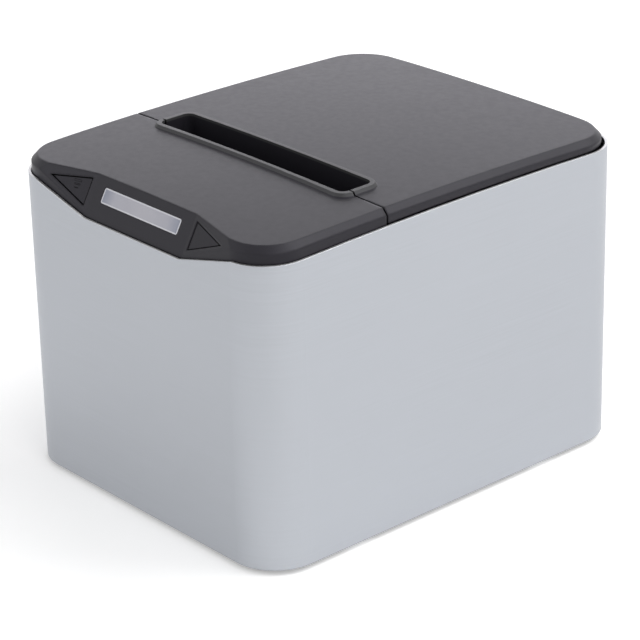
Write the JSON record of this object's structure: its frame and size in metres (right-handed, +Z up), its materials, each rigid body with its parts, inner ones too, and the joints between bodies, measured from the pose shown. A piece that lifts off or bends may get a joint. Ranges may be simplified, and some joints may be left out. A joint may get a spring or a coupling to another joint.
{
  "type": "receipt printer",
  "caption": "Counter-top thermal receipt printer: brushed metal sleeve, dark domed lid hinged at the rear, raised paper slot, sloped front panel with status window and buttons.",
  "frame": {"origin": "on the floor, below the middle of the sleeve", "axes": "+X to the right along the front, +Y to the back, +Z up"},
  "size_m": [0.14, 0.173, 0.1236],
  "materials": {
    "sleeve_metal": "fine brushed, satin",
    "cover_plastic": "fine satin texture, charcoal",
    "case_plastic": "moulded black",
    "foot_rubber": "matt black",
    "platen_rubber": "ground rubber",
    "window_plastic": "frosted pale",
    "gear_plastic": "moulded off-white",
    "zinc_steel": "zinc plated",
    "bright_steel": "ground bright",
    "motor_can": "satin grey",
    "heat_sink_metal": "extruded",
    "board_laminate": "green laminate",
    "chip_plastic": "matt black"
  },
  "bodies": {
    "body": {"metal_sleeve": "sleeve_metal", "inner_case": "case_plastic", "rubber_feet": "foot_rubber", "case_screws": "zinc_steel", "front_cover": "cover_plastic", "front_cover_screws": "zinc_steel", "status_window": "window_plastic", "light_guide": "window_plastic", "panel_board": "board_laminate", "feed_switch": "case_plastic", "hinge_brackets": "zinc_steel", "hinge_pins": "bright_steel", "gear_stud": "bright_steel", "feed_motor": "motor_can", "left_side_plate": "zinc_steel", "right_side_plate": "zinc_steel", "chassis_screws": "zinc_steel", "head_rod": "bright_steel", "spring_bar": "zinc_steel", "cutter_deck": "zinc_steel", "cutter_motor": "motor_can", "latch_guides": "zinc_steel", "paper_bucket": "case_plastic", "paper_end_sensor": "case_plastic", "cover_sensor": "case_plastic", "main_board": "board_laminate", "board_chips": "chip_plastic", "board_screws": "zinc_steel", "rear_plate": "zinc_steel", "dc_inlet": "case_plastic", "usb_socket": "bright_steel", "lan_socket": "bright_steel", "drawer_socket": "case_plastic", "power_switch_body": "case_plastic"},
    "lid": {"rear_cover": "cover_plastic", "platen_carrier": "case_plastic", "carrier_screws": "zinc_steel", "fixed_blade": "bright_steel", "fixed_blade_screws": "zinc_steel", "platen_bushes": "gear_plastic"},
    "platen": {"platen_roller": "platen_rubber", "platen_shaft": "bright_steel", "platen_gear": "gear_plastic"},
    "reduction": {"reduction_gear": "gear_plastic"},
    "feed_drive": {"motor_pinion": "gear_plastic", "motor_shaft": "bright_steel"},
    "head": {"print_head": "chip_plastic", "head_heat_sink": "heat_sink_metal", "head_bracket": "zinc_steel", "head_springs": "bright_steel"},
    "cutter": {"cutter_blade": "bright_steel", "cutter_rack": "case_plastic"},
    "cutter_drive": {"cutter_pinion": "gear_plastic", "cutter_shaft": "bright_steel"},
    "latch": {"latch_slider": "zinc_steel", "latch_spring": "bright_steel"},
    "open_key": {"open_button": "cover_plastic"},
    "feed_key": {"feed_button": "cover_plastic"},
    "power_key": {"power_rocker": "case_plastic"}
  },
  "joints": [
    {"name": "lid_hinge", "type": "hinge", "parent": "body", "child": "lid", "pos_m": [0, 0.0765, 0.11604], "axis": [-1, 0, 0], "range_deg": [0, 90]},
    {"name": "platen_spin", "type": "hinge", "parent": "lid", "child": "platen", "pos_m": [0, -0.016, 0.0877], "axis": [1, 0, 0], "continuous": true},
    {"name": "reduction_spin", "type": "hinge", "parent": "body", "child": "reduction", "pos_m": [0, -0.01152, 0.07307], "axis": [1, 0, 0], "continuous": true},
    {"name": "feed_motor_spin", "type": "hinge", "parent": "body", "child": "feed_drive", "pos_m": [0, -0.02334, 0.05487], "axis": [1, 0, 0], "continuous": true},
    {"name": "head_pivot", "type": "hinge", "parent": "body", "child": "head", "pos_m": [0, -0.02274, 0.07021], "axis": [1, 0, 0], "range_deg": [0, 3], "stiffness_Nm_per_rad": 1.5, "springref_deg": -2.86, "deforming": ["head_springs"]},
    {"name": "cutter_slide", "type": "slide", "parent": "body", "child": "cutter", "axis": [0, 1, 0], "range_m": [0, 0.009]},
    {"name": "cutter_pinion_spin", "type": "hinge", "parent": "body", "child": "cutter_drive", "pos_m": [0.0241, -0.055, 0.1021], "axis": [0, 0, 1], "range_deg": [-93, 0]},
    {"name": "latch_slide", "type": "slide", "parent": "body", "child": "latch", "axis": [0, 1, 0], "range_m": [0, 0.0025], "stiffness_N_per_m": 800, "springref_m": -0.003, "deforming": ["latch_spring"]},
    {"name": "open_button_press", "type": "slide", "parent": "body", "child": "open_key", "axis": [0.1828, 0.8569, -0.482], "range_m": [0, 0.003]},
    {"name": "feed_button_press", "type": "slide", "parent": "body", "child": "feed_key", "axis": [-0.1828, 0.8569, -0.482], "range_m": [0, 0.0008], "stiffness_N_per_m": 400, "springref_m": -0.001},
    {"name": "power_rock", "type": "hinge", "parent": "body", "child": "power_key", "pos_m": [0.0415, 0.0811, 0.0171], "axis": [0, 0, 1], "range_deg": [0, 16]}
  ],
  "couplings": [
    {"joint": "reduction_spin", "follows": "feed_motor_spin", "ratio": -0.35},
    {"joint": "platen_spin", "follows": "feed_motor_spin", "ratio": 0.20417},
    {"joint": "cutter_pinion_spin", "follows": "cutter_slide", "rad_per_m": -178.57},
    {"joint": "open_button_press", "follows": "latch_slide", "ratio": 1.167}
  ]
}
